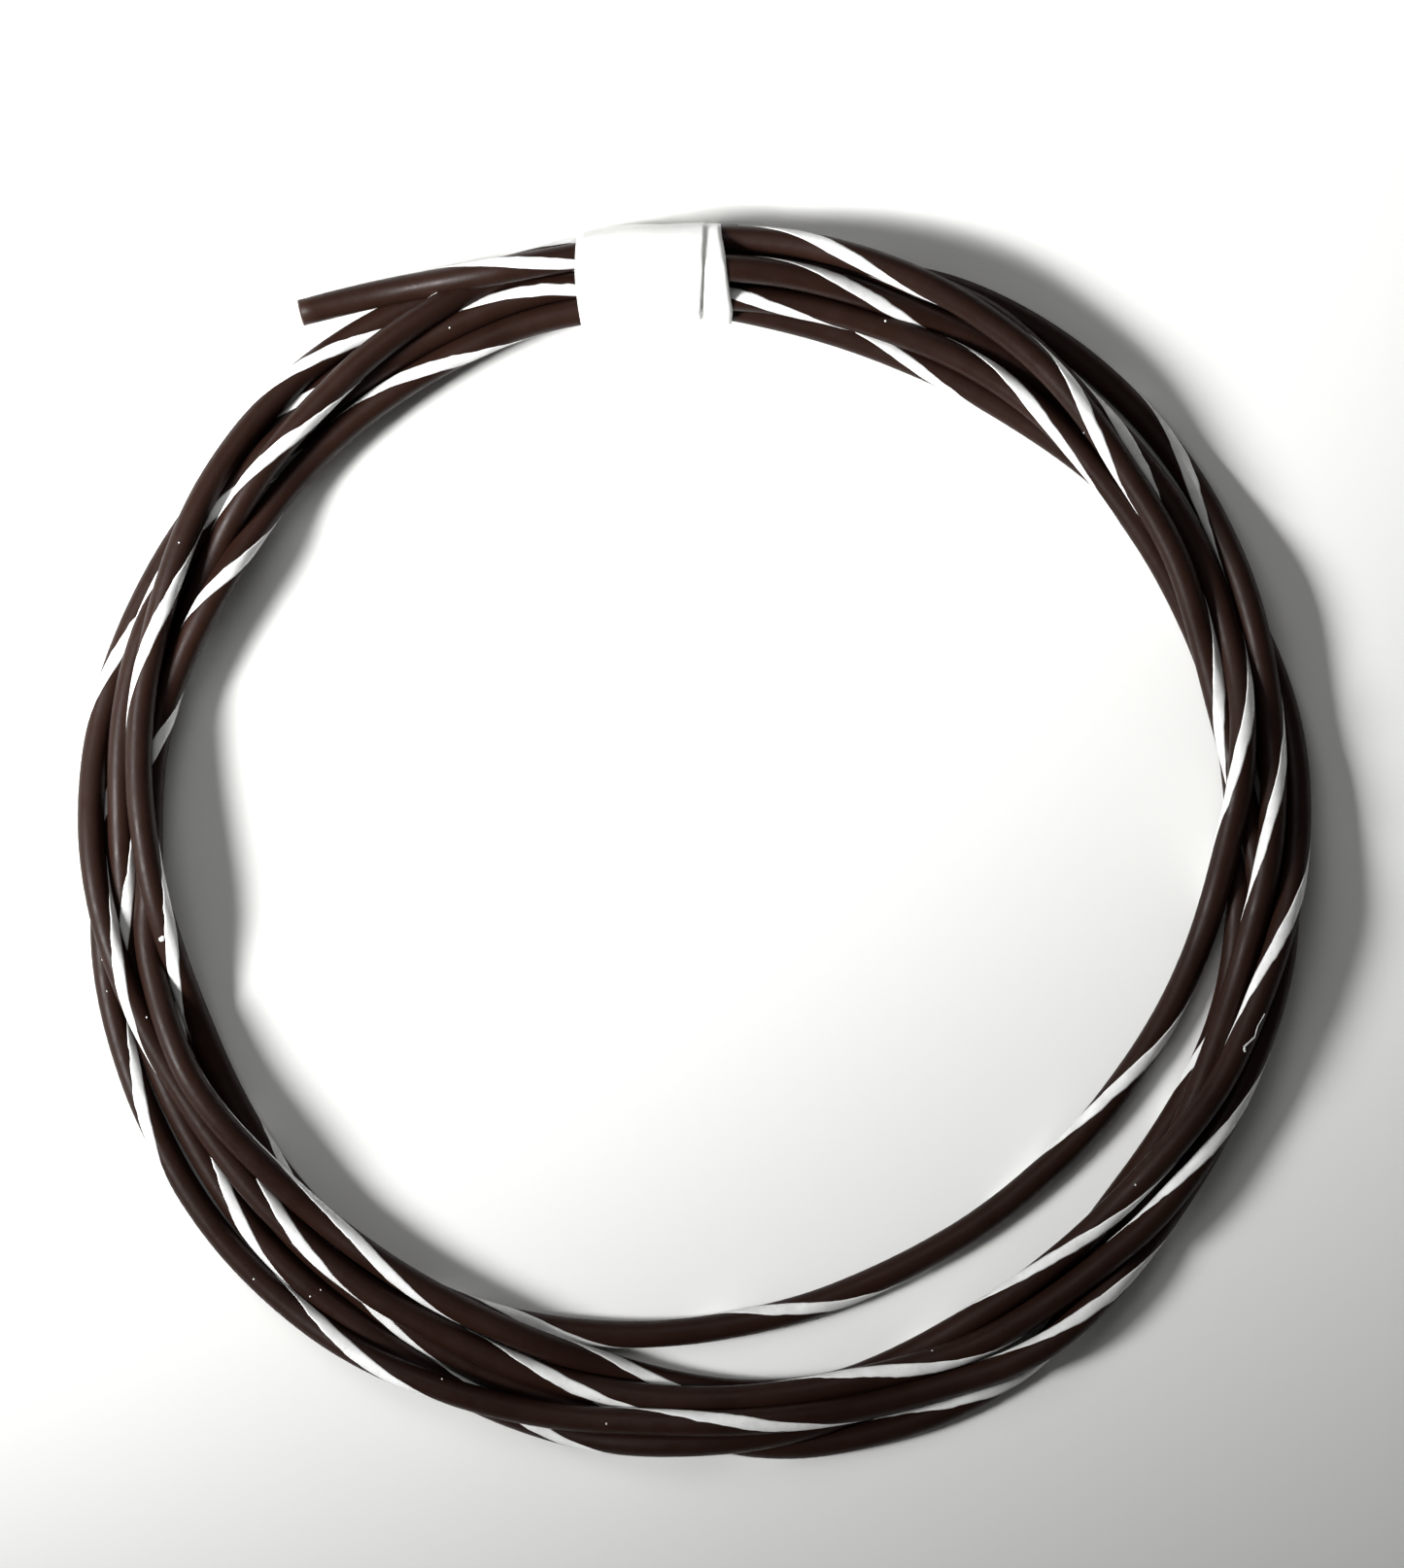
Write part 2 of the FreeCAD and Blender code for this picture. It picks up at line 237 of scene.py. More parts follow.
def settled_turns():
    """Angle, radius and height of the wound turns let down on the plane, each near its lane."""
    end_clock, end_radius = clock_and_radius(FREE_END_ROUTE)
    tail_clock, tail_radius = clock_and_radius(TAIL_ROUTE)
    last = 360 * len(TURNS)
    known = [(360 * turn + clock, lane * MM) for turn, lanes in enumerate(TURNS) for clock, lane in lanes]
    known += [(clock, radius) for clock, radius in zip(end_clock, end_radius)]
    known += [(last + clock, radius) for clock, radius in zip(tail_clock[1:], tail_radius[1:])]
    known = np.array(sorted(known))
    angles = np.arange(math.ceil(end_clock[0] / STATION), last // STATION + 1) * float(STATION)
    lane = smooth_through(angles, known[:, 0], known[:, 1])
    ranks = np.array([rank_at(angle) for angle in angles])
    around = 360 // STATION
    count = len(angles)
    pairs = np.array([(i, j) for i in range(count) for j in range(i + around, count, around)])
    swap = ranks[pairs[:, 0]] > ranks[pairs[:, 1]]
    upper = np.where(swap, pairs[:, 0], pairs[:, 1])
    lower = np.where(swap, pairs[:, 1], pairs[:, 0])

    clock = (angles - TAPE_CLOCK + 180) % 360 - 180
    floor = WIRE_R + TAPE_LIFT * np.exp(-(clock / TAPE_HALF_CLOCK) ** 4)
    radius = lane.copy()
    height = floor.copy()
    for _ in RANKS:
        near = np.abs(radius[upper] - radius[lower]) < WIRE_D
        rise = np.sqrt(np.maximum(WIRE_D ** 2 - (radius[upper] - radius[lower]) ** 2, 0))
        np.maximum.at(height, upper[near], (height[lower] + rise)[near])
    held_end = angles <= 0
    held_tail = angles >= last
    held_radius = np.where(held_end, np.interp(angles, end_clock, end_radius), tail_radius[1])
    end_height = np.array(FREE_END_ROUTE)[:, 2]
    held_height = np.where(held_end, np.interp(angles, end_clock, end_height), TAIL_ROUTE[1][2])
    held = held_end | held_tail

    for _ in range(SETTLE_ROUNDS):
        height -= SINK_STEP * WIRE_D
        height -= STIFFNESS * bending(height)
        aside = radius - lane
        radius = lane + KEPT_ASIDE * (aside + SMOOTH_ASIDE * second_difference(aside))
        for _ in range(CONTACT_PASSES):
            radius[held], height[held] = held_radius[held], held_height[held]
            across = radius[upper] - radius[lower]
            above = height[upper] - height[lower]
            need = np.sqrt(np.maximum(WIRE_D ** 2 - across ** 2, 0))
            touching = (np.abs(across) < WIRE_D) & (above < need)
            beside = touching & (np.abs(across) > SIDE_BY_SIDE * WIRE_D)
            stacked = touching & ~beside
            move_r, move_z, hits = np.zeros(count), np.zeros(count), np.zeros(count)
            lift = LIFT_SHARE * (need - above)[stacked]
            slip = SLIP_SHARE * (need - above)[stacked] * np.sign(across[stacked])
            off_middle = np.minimum(SLIP_SLOPE * np.abs(across[stacked]) / WIRE_D, 1)
            slip = np.clip(slip * off_middle, -SLIP_MOST, SLIP_MOST)
            gap = np.hypot(across, above)
            push = np.maximum(PUSH_SHARE * (WIRE_D - gap), 0)[beside] / gap[beside]
            for side, sign in ((upper, 1), (lower, -1)):
                np.add.at(move_z, side[stacked], sign * lift)
                np.add.at(move_r, side[stacked], sign * slip)
                np.add.at(move_r, side[beside], sign * push * across[beside])
                np.add.at(move_z, side[beside], sign * push * above[beside])
                np.add.at(hits, side[touching], 1)
            share = 1 / np.sqrt(np.maximum(hits, 1))
            height = np.maximum(height + move_z * share, floor)
            radius += move_r * share
    radius[held], height[held] = held_radius[held], held_height[held]
    gap = np.hypot(radius[upper] - radius[lower], height[upper] - height[lower])
    print("closest turns", round(gap.min() / WIRE_D, 3), "diameters")
    print("highest", round(height.max() / MM, 2), "mm")
    print("furthest from its lane", round(np.abs(radius - lane).max() / MM, 2), "mm")
    free = (angles > 0) & (angles < last)
    return angles[free], radius[free], height[free]


angles, radii, heights = settled_turns()
route = list(FREE_END_ROUTE)
for angle, radius, height in zip(np.radians(angles), radii, heights):
    route.append((radius * math.sin(angle), radius * math.cos(angle), height))
route += TAIL_ROUTE

route_data = bpy.data.curves.new("wire_route", "CURVE")
route_data.dimensions = "3D"
spline = route_data.splines.new("NURBS")
spline.points.add(len(route) - 1)
for point, place in zip(spline.points, route):
    point.co = (*place, 1)
spline.order_u = 3
spline.use_endpoint_u = True
spline.resolution_u = 8
route_object = bpy.data.objects.new("wire_route", route_data)
route_line = bpy.data.meshes.new_from_object(route_object)
path = np.array([vertex.co[:] for vertex in route_line.vertices])
bpy.data.meshes.remove(route_line)
bpy.data.objects.remove(route_object)

# ---------------------------------------------------------------- frames along the wire
tangent = np.gradient(path, axis=0)
tangent /= np.linalg.norm(tangent, axis=1)[:, None]
outward = np.cross((0, 0, 1), tangent)
outward /= np.linalg.norm(outward, axis=1)[:, None]
upward = np.cross(tangent, outward)
travelled = np.concatenate([[0], np.cumsum(np.linalg.norm(np.diff(path, axis=0), axis=1))])
path_angle = np.degrees(np.unwrap(np.arctan2(path[:, 0], path[:, 1])))
print("wire length", round(travelled[-1], 4), "points", len(path))

# The stripe's turning: straight up at each listed angle, one full right-handed turn between two of them
on_top = list(STRIPE_ON_TOP_FREE_END)
for turn, clocks in enumerate(STRIPE_ON_TOP):
    on_top += [360 * turn + clock for clock in clocks]
on_top = [on_top[0] - STRIPE_PITCH_AT_ENDS] + on_top + [on_top[-1] + STRIPE_PITCH_AT_ENDS]
counted = np.arange(len(on_top), dtype=float)
stripe_turn = 90 + 360 * smooth_through(path_angle, np.array(on_top, float), counted)

random = np.random.default_rng(11)


def wander(at, spacing, size):
    """Smooth random wandering along the wire, from random values a spacing apart."""
    knots = np.arange(0, at[-1] + 2 * spacing, spacing)
    return size * smooth_through(at, knots, random.uniform(-1, 1, len(knots)))


def new_piece(name, vertices, faces, materials):
    """A smooth-shaded mesh piece that rides on the one body."""
    mesh = bpy.data.meshes.new(name)
    mesh.from_pydata([tuple(v) for v in vertices], [], faces)
    for look in materials:
        mesh.materials.append(look)
    mesh.polygons.foreach_set("use_smooth", [True] * len(mesh.polygons))
    mesh.update()
    piece = bpy.data.objects.new(name, mesh)
    bpy.context.scene.collection.objects.link(piece)
    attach(piece, "root")
    return piece


def rings_to_faces(rings, across, start=0):
    """Quads between closed rings of vertices that follow each other."""
    faces = []
    for ring in range(rings - 1):
        a = start + ring * across
        for k in range(across):
            after = (k + 1) % across
            faces.append((a + k, a + after, a + across + after, a + across + k))
    return faces


# ---------------------------------------------------------------- materials
def material(name, base, roughness, metallic=0.0, specular=0.5):
    """A new principled material, with its node tree."""
    made = bpy.data.materials.new(name)
    made.use_nodes = True
    shader = made.node_tree.nodes["Principled BSDF"]
    shader.inputs["Base Color"].default_value = (*base, 1)
    shader.inputs["Roughness"].default_value = roughness
    shader.inputs["Metallic"].default_value = metallic
    shader.inputs["Specular IOR Level"].default_value = specular
    return made, made.node_tree, shader


def noise(tree, scale, detail=3.0, roughness=0.55, stretch=None):
    """Noise in the object's own coordinates; stretch is how much each axis is drawn out."""
    coordinates = tree.nodes.new("ShaderNodeTexCoord")
    texture = tree.nodes.new("ShaderNodeTexNoise")
    texture.inputs["Scale"].default_value = scale
    texture.inputs["Detail"].default_value = detail
    texture.inputs["Roughness"].default_value = roughness
    source = coordinates.outputs["Object"]
    if stretch:
        mapping = tree.nodes.new("ShaderNodeMapping")
        mapping.inputs["Scale"].default_value = stretch
        tree.links.new(source, mapping.inputs["Vector"])
        source = mapping.outputs["Vector"]
    tree.links.new(source, texture.inputs["Vector"])
    return texture.outputs["Fac"]


def ramp(tree, source, stops):
    """Colour ramp from (position, colour) stops."""
    node = tree.nodes.new("ShaderNodeValToRGB")
    elements = node.color_ramp.elements
    while len(elements) < len(stops):
        elements.new(0.5)
    for element, (position, colour) in zip(elements, stops):
        element.position = position
        element.color = (*colour, 1)
    tree.links.new(source, node.inputs["Fac"])
    return node.outputs["Color"]


def mixed(tree, share, first, second):
    """Second colour over the first by a share."""
    node = tree.nodes.new("ShaderNodeMix")
    node.data_type = "RGBA"
    tree.links.new(share, node.inputs["Factor"])
    for socket, value in ((node.inputs["A"], first), (node.inputs["B"], second)):
        if isinstance(value, tuple):
            socket.default_value = (*value, 1)
        else:
            tree.links.new(value, socket)
    return node.outputs["Result"]


def bump(tree, shader, height, strength, distance):
    """Bump from a height."""
    node = tree.nodes.new("ShaderNodeBump")
    node.inputs["Strength"].default_value = strength
    node.inputs["Distance"].default_value = distance
    tree.links.new(height, node.inputs["Height"])
    tree.links.new(node.outputs["Normal"], shader.inputs["Normal"])


def jacket_material():
    """Dull dark brown PVC: faint blotches, fine dust, a soft uneven sheen."""
    made, tree, shader = material("jacket_brown_pvc", (0.018, 0.0075, 0.0050), 0.44, specular=0.12)
    blotches = ramp(tree, noise(tree, 90, 3), [(0.30, (0.0135, 0.0054, 0.0035)),
                                               (0.70, (0.0205, 0.0085, 0.0057))])
    dust = ramp(tree, noise(tree, 1700, 4, 0.7), [(0.68, (0, 0, 0)), (0.82, (0.5, 0.5, 0.5))])
    tree.links.new(mixed(tree, dust, blotches, (0.10, 0.07, 0.055)), shader.inputs["Base Color"])
    rough = ramp(tree, noise(tree, 350, 4, 0.6), [(0.3, (0.34, 0.34, 0.34)), (0.75, (0.56, 0.56, 0.56))])
    tree.links.new(rough, shader.inputs["Roughness"])
    bump(tree, shader, noise(tree, 900, 5, 0.6), 0.35, 0.00012)
    return made


def tracer_material():
    """White stripe ink: slightly dirty, with the brown showing through in scuffs."""
    made, tree, shader = material("tracer_white_ink", (0.80, 0.81, 0.80), 0.5, specular=0.4)
    dirt = ramp(tree, noise(tree, 260, 4, 0.6), [(0.35, (0.66, 0.66, 0.65)), (0.62, (0.82, 0.83, 0.82))])
    scuffs = ramp(tree, noise(tree, 1500, 5, 0.75), [(0.64, (0, 0, 0)), (0.72, (0.8, 0.8, 0.8))])
    tree.links.new(mixed(tree, scuffs, dirt, (0.20, 0.15, 0.12)), shader.inputs["Base Color"])
    bump(tree, shader, noise(tree, 1300, 4, 0.6), 0.3, 0.0001)
    return made


def copper_material():
    """Drawn copper, a little dulled."""
    made, tree, shader = material("strand_copper", (0.72, 0.40, 0.25), 0.32, metallic=1.0)
    tarnish = ramp(tree, noise(tree, 1200, 3), [(0.35, (0.72, 0.43, 0.28)), (0.75, (0.45, 0.22, 0.13))])
    tree.links.new(tarnish, shader.inputs["Base Color"])
    bump(tree, shader, noise(tree, 4000, 2, 0.5, (1, 1, 0.2)), 0.2, 0.00003)
    return made


def paper_material():
    """Smooth white paper tape: faint fibres and thumbed grey patches."""
    made, tree, shader = material("tape_white_paper", (0.88, 0.88, 0.86), 0.62, specular=0.35)
    patches = ramp(tree, noise(tree, 110, 3), [(0.32, (0.80, 0.80, 0.78)), (0.62, (0.88, 0.88, 0.865))])
    tree.links.new(patches, shader.inputs["Base Color"])
    bump(tree, shader, noise(tree, 1400, 4, 0.6, (1, 0.35, 1)), 0.22, 0.00008)
    return made


jacket = jacket_material()
tracer = tracer_material()
copper = copper_material()
paper = paper_material()

# ---------------------------------------------------------------- jacket
# Solid in the coil, bored at its two cut ends
RING = 28
BORE_R = 1.155 * MM
FREE_BORE = 56 * MM               # how far the strands are modelled into each end
TAIL_BORE = 9 * MM
CUT_SLANT = 0.12                  # the free end's cut is a little off square
CUT_ROUNDING = 0.10 * MM
CUT_SLANT_REACH = 2 * MM
RIM_SHARE = 0.93
SKIN_WAVE_EVERY, SKIN_WAVE = 6 * MM, 0.012 * MM

every = np.arange(len(path))
ring_turns = stripe_turn[:, None] + np.arange(RING) * 360 / RING
skin = WIRE_R + wander(travelled, SKIN_WAVE_EVERY, SKIN_WAVE)
outer = path[:, None] + (outward[:, None] * np.cos(np.radians(ring_turns))[..., None]
                         + upward[:, None] * np.sin(np.radians(ring_turns))[..., None]) * skin[:, None, None]
slanted = np.maximum(0, 1 - travelled / CUT_SLANT_REACH)[:, None]
lean = CUT_SLANT * (outer - path[:, None]) @ np.array([0, 0, 1.0])
outer += tangent[:, None] * (slanted * lean)[..., None]

vertices = [outer.reshape(-1, 3)]
faces = rings_to_faces(len(path), RING)
made_so_far = len(path) * RING
for deep, first, inward in ((FREE_BORE, 0, 1), (TAIL_BORE, len(path) - 1, -1)):
    reach = travelled if inward == 1 else travelled[-1] - travelled
    bored = np.flatnonzero(reach <= deep)[::inward]
    narrowed = (BORE_R / skin[bored])[:, None, None]
    inner = path[bored][:, None] + (outer[bored] - path[bored][:, None]) * narrowed
    rim = path[first] + (outer[first] - path[first]) * RIM_SHARE - tangent[first] * inward * CUT_ROUNDING
    vertices += [rim, inner.reshape(-1, 3), path[bored[-1]][None]]
    edge = np.arange(RING) + first * RING
    rim_at = made_so_far + np.arange(RING)
    inner_at = rim_at + RING
    for k in range(RING):
        n = (k + 1) % RING
        quads = [(edge[n], edge[k], rim_at[k], rim_at[n]), (rim_at[n], rim_at[k], inner_at[k], inner_at[n])]
        faces += quads if inward == 1 else [quad[::-1] for quad in quads]
    walls = rings_to_faces(len(bored), RING, start=made_so_far + RING)
    faces += [wall[::-1] for wall in walls] if inward == 1 else walls
    bottom = made_so_far + RING + (len(bored) - 1) * RING
    centre = made_so_far + RING + len(bored) * RING
    for k in range(RING):
        fan = (bottom + k, bottom + (k + 1) % RING, centre)
        faces.append(fan[::-1] if inward == 1 else fan)
    made_so_far = centre + 1
wire_jacket = new_piece("wire_jacket", np.concatenate(vertices), faces, [jacket])
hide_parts("coiled_turns", "slack_turn", "free_end_jacket", "tail_jacket")

# ---------------------------------------------------------------- tracer
# A printed spiral stripe, a little raised, with ragged edges
STRIPE_HALF = 28                  # degrees
STRIPE_STEPS = 8
STRIPE_RISE = 0.045 * MM
STRIPE_ROOT = 0.05 * MM
STRIPE_INSET = 0.15 * MM           # how far the stripe stops short of each cut
STRIPE_LIP = 0.25                 # share of its rise that it has at its edges
inset = (travelled > STRIPE_INSET) & (travelled < travelled[-1] - STRIPE_INSET)
striped = every[inset]


def ragged_edge(slow, fast, grain):
    """Degrees from the stripe's middle to one edge; slow and fast are a spacing and a size."""
    waves = (wander(travelled, *slow) + wander(travelled, *fast))[inset]
    return STRIPE_HALF + waves + random.uniform(-1, 1, len(striped)) * grain


edge_up = ragged_edge((9 * MM, 3.5), (2.1 * MM, 2.6), 0.9)
edge_down = ragged_edge((13 * MM, 2.5), (1.6 * MM, 3.6), 1.6)
spread = np.linspace(0, 1, STRIPE_STEPS + 1)
stripe_turns = stripe_turn[striped][:, None] - edge_down[:, None] + spread * (edge_up + edge_down)[:, None]
lip = np.ones(STRIPE_STEPS + 1)
lip[0] = lip[-1] = STRIPE_LIP
over = (skin[striped][:, None] + STRIPE_RISE * lip)
under = np.repeat((skin[striped] - STRIPE_ROOT)[:, None], 2, axis=1)
ring_t = np.radians(np.concatenate([stripe_turns, stripe_turns[:, [-1, 0]]], axis=1))
ring_r = np.concatenate([over, under], axis=1)
away = (outward[striped][:, None] * np.cos(ring_t)[..., None]
        + upward[striped][:, None] * np.sin(ring_t)[..., None])
stripe_points = path[striped][:, None] + away * ring_r[..., None]
stripe_points += tangent[striped][:, None] * (slanted[striped] * CUT_SLANT * (
    (stripe_points - path[striped][:, None]) @ np.array([0, 0, 1.0])))[..., None]
across = STRIPE_STEPS + 3
stripe_faces = rings_to_faces(len(striped), across)
stripe_faces.append(tuple(range(across))[::-1])
stripe_faces.append(tuple(range((len(striped) - 1) * across, len(striped) * across)))
tracer_stripe = new_piece("tracer_stripe", stripe_points.reshape(-1, 3), stripe_faces, [tracer])

# ---------------------------------------------------------------- strands
# One, six and twelve, twisted together
STRAND_R = 0.213 * MM
STRAND_PITCH = 0.46 * MM
STRAND_SIDES = 8
STRAND_LAY = 40 * MM
STRAND_RECESS = 0.15 * MM
STRAND_UNEVEN = 0.25              # how much further in a strand may end, in mm
BORE_SPARE = 1 * MM               # bore beyond the strands' inner ends


def strand(indices, ring, turn, recess):
    """Vertices and faces of one strand along path indices, starting a little inside the cut."""
    back = np.abs(travelled[indices] - travelled[indices[0]])
    swing = np.radians(turn) + 2 * math.pi * back / STRAND_LAY
    aside = outward[indices] * np.cos(swing)[:, None] + upward[indices] * np.sin(swing)[:, None]
    middle = path[indices] + aside * ring * STRAND_PITCH
    first_step = middle[1] - middle[0]
    middle[0] = middle[0] + first_step * min(0.9, recess / np.linalg.norm(first_step))
    round_it = np.radians(np.arange(STRAND_SIDES) * 360 / STRAND_SIDES)
    points = middle[:, None] + STRAND_R * (outward[indices][:, None] * np.cos(round_it)[None, :, None]
                                           + upward[indices][:, None] * np.sin(round_it)[None, :, None])
    count = len(indices)
    made = rings_to_faces(count, STRAND_SIDES)
    made.append(tuple(range(STRAND_SIDES))[::-1])
    made.append(tuple(range((count - 1) * STRAND_SIDES, count * STRAND_SIDES)))
    if indices[1] < indices[0]:
        made = [face[::-1] for face in made]
    return points.reshape(-1, 3), made


layout = [(ring, (index + 0.5 * (ring % 2)) * 360 / many)
          for ring, many in enumerate((1, 6, 12)) for index in range(many)]
for number, (ring, turn) in enumerate(layout, 1):
    points, strand_faces = strand(every[travelled <= FREE_BORE - BORE_SPARE], ring, turn,
                                  STRAND_RECESS + random.uniform(0, STRAND_UNEVEN) * MM)
    piece = new_piece("end_strand_%02d" % number, points, strand_faces, [copper])
    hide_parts("free_end_strand_%02d" % number)

tail_indices = every[travelled[-1] - travelled <= TAIL_BORE - BORE_SPARE][::-1]
tail_points, tail_faces, offset = [], [], 0
for ring, turn in layout:
    recess = STRAND_RECESS + random.uniform(0, STRAND_UNEVEN) * MM
    points, strand_faces = strand(tail_indices, ring, turn, recess)
    tail_points.append(points)
    tail_faces += [tuple(index + offset for index in face) for face in strand_faces]
    offset += len(points)
tail_strand_set = new_piece("tail_strand_set", np.concatenate(tail_points), tail_faces, [copper])
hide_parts("tail_strands")

# ---------------------------------------------------------------- paper tape
# Two laps pulled round the bundle
LAP_THICKNESS = 0.15 * MM
TAPE_MIDDLE_Y = 78.5 * MM
TAPE_MIDDLE_Z = 5.4 * MM
TAPE_LOOKS = 180                  # directions round the tape's section
TAPE_FROM, TAPE_TO = -18.5 * MM, 7.5 * MM
TAPE_SLICE = 0.5 * MM
TAPE_CLEARANCE = 0.08 * MM        # from the wire's skin to the tape's inside
TAPE_FLOOR = 0.3 * MM             # the lowest that the inside of the inner lap comes


def hull(points):
    """Convex outline of points in a plane, anticlockwise."""
    points = sorted(map(tuple, points))
    sides = []
    for ordered in (points, points[::-1]):
        side = []
        for point in ordered:
            while len(side) > 1 and ((side[-1][0] - side[-2][0]) * (point[1] - side[-2][1])
                                     - (side[-1][1] - side[-2][1]) * (point[0] - side[-2][0])) <= 0:
                side.pop()
            side.append(point)
        sides += side[:-1]
    return np.array(sides)


slices = np.arange(TAPE_FROM, TAPE_TO + TAPE_SLICE / 2, TAPE_SLICE)
looks = np.radians(np.arange(TAPE_LOOKS) * 360 / TAPE_LOOKS - 180)
girth = np.zeros((len(slices), TAPE_LOOKS))
circle = np.radians(np.arange(0, 360, 6))
for row, x in enumerate(slices):
    crosses = np.flatnonzero((path[:-1, 0] <= x) & (path[1:, 0] > x) & (path[:-1, 1] > 0))
    share = (x - path[crosses, 0]) / (path[crosses + 1, 0] - path[crosses, 0])
    centres = path[crosses] + (path[crosses + 1] - path[crosses]) * share[:, None]
    reach = WIRE_R + TAPE_CLEARANCE
    rims = [np.stack([c[1] + reach * np.cos(circle), c[2] + reach * np.sin(circle)], 1)
            for c in centres]
    outline = hull(np.concatenate(rims))
    closed = np.concatenate([outline, outline[:1]])
    dense = np.concatenate([a + (b - a) * np.linspace(0, 1, 24, endpoint=False)[:, None]
                            for a, b in zip(closed, closed[1:])])
    direction = np.arctan2(dense[:, 1] - TAPE_MIDDLE_Z, dense[:, 0] - TAPE_MIDDLE_Y)
    distance = np.hypot(dense[:, 1] - TAPE_MIDDLE_Z, dense[:, 0] - TAPE_MIDDLE_Y)
    order = np.argsort(direction)
    girth[row] = np.interp(looks, direction[order], distance[order], period=2 * math.pi)
widest = np.array([girth[max(0, row - 3):row + 4].max(axis=0) for row in range(len(slices))])
for _ in range(3):
    padded = np.concatenate([widest[:1], widest, widest[-1:]])
    widest = (padded[:-2] + 2 * padded[1:-1] + padded[2:]) / 4


def girth_at(x, look):
    """How far the tape's inside stands from its middle line, at x and in a direction."""
    spot = np.clip((x - slices[0]) / TAPE_SLICE, 0, len(slices) - 1.001)
    row = spot.astype(int)
    along = spot - row
    return widest[row, look] * (1 - along) + widest[row + 1, look] * along


def tape_lap(left_edge, right_edge, lift, columns, crease=None):
    """A closed band of tape between two side edges, which are functions of y."""
    rows = []
    look = np.arange(TAPE_LOOKS)
    y_guess = TAPE_MIDDLE_Y + girth_at(np.full(TAPE_LOOKS, -5 * MM), look) * np.cos(looks)
    left, right = left_edge(y_guess), right_edge(y_guess)
    for layer in (lift, lift + LAP_THICKNESS):
        for column in range(columns + 1):
            x = left + (right - left) * column / columns
            out = girth_at(x, look) + layer
            if crease is not None:
                out = out + crease(x, TAPE_MIDDLE_Y + out * np.cos(looks), looks) * MM
            y = TAPE_MIDDLE_Y + out * np.cos(looks)
            z = np.maximum(TAPE_MIDDLE_Z + out * np.sin(looks), TAPE_FLOOR - layer)
            rows.append(np.stack([x, y, z], 1))
    inner = rows[:columns + 1]
    outer_rows = rows[columns + 1:]
    loop = inner + outer_rows[::-1]
    points = np.concatenate(loop)
    faces = rings_to_faces(len(loop), TAPE_LOOKS)
    last_ring = (len(loop) - 1) * TAPE_LOOKS
    for k in range(TAPE_LOOKS):
        n = (k + 1) % TAPE_LOOKS
        faces.append((last_ring + k, last_ring + n, n, k))
    return points, faces


def inner_left(y):
    return np.full_like(y, -14.2 * MM)


def slanted_right(y):
    return 3.6 * MM + (85.5 * MM - y) * 0.131


def bowed_left(y):
    return -16.3 * MM + 0.8 * MM * ((y - 78.0 * MM) / (5.4 * MM)) ** 2 * np.where(y < 78 * MM, 1.0, 0.55)


def outer_right(y):
    return 1.7 * MM - (85.2 * MM - y) * 0.05


def creases(x, y, look):
    """Small folds of the outer lap: its end, near the inside of the coil, and a soft diagonal."""
    top = np.clip(np.sin(look), 0, 1)
    end = np.clip((73.9 * MM - y) / (0.35 * MM) + 0.5, 0, 1) * np.clip((x + 6.5 * MM) / (1.5 * MM), 0, 1)
    diagonal = np.exp(-(((y - 73.8 * MM) - (x + 5.9 * MM) * -0.55) / (0.5 * MM)) ** 2) * (x < -5.9 * MM)
    return (0.10 * end - 0.06 * diagonal) * top


tape_points, tape_faces = tape_lap(inner_left, slanted_right, 0.0, 26)
outer_points, outer_faces = tape_lap(bowed_left, outer_right, LAP_THICKNESS, 30, creases)
tape_faces += [tuple(index + len(tape_points) for index in face) for face in outer_faces]
paper_laps = new_piece("paper_laps", np.concatenate([tape_points, outer_points]), tape_faces, [paper])
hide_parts("paper_tape")

# ---------------------------------------------------------------- white specks that lie on the jacket: specks of paint, and three painted highlights
# clock angle, distance from the middle and size, in mm
# The specks at 188.5, 255.5 and 258.5 degrees are painted highlights on the tops of the turns; the rest are
# specks of paint
SPECKS = [
    (20.3, 76.2, 0.34), (43.8, 77.5, 0.30), (128, 77.1, 0.32), (155, 77.7, 0.28), (188.5, 81.3, 0.30),
    (205, 82.0, 0.28), (220, 82.4, 0.26), (219.6, 80.8, 0.30), (225, 85.9, 0.32), (300, 81.6, 0.26),
    (334.5, 78.1, 0.30), (255.5, 83.7, 0.26), (258.5, 83.2, 0.24), (259.4, 74.4, 0.95), (252, 79.2, 0.30),
]
# strokes of paint: clock angle and distance at both ends, width, in mm
STROKES = [
    (107, 82.0, 108.3, 81.6, 0.16), (108.3, 81.6, 109.4, 81.7, 0.20),
    (109.4, 81.7, 110.6, 80.8, 0.30), (110.6, 80.8, 111, 81.1, 0.42),
]
BLOB_SIDES = 9
BLOB_RAGGED = 0.3
BLOB_TOP = 0.09 * MM
BLOB_RINGS = ((0.07, 0.75), (-0.06, 1.0))     # height above the skin in mm, share of the size
LOOK_DOWN_FROM = 0.05
wire_skin = BVHTree.FromPolygons([tuple(v) for v in np.concatenate(vertices)], faces)


def surface_under(x, y):
    """Point and normal of the wire seen from straight above."""
    place, normal, _, _ = wire_skin.ray_cast(Vector((x, y, LOOK_DOWN_FROM)), Vector((0, 0, -1)))
    return place, normal


speck_points, speck_faces = [], []


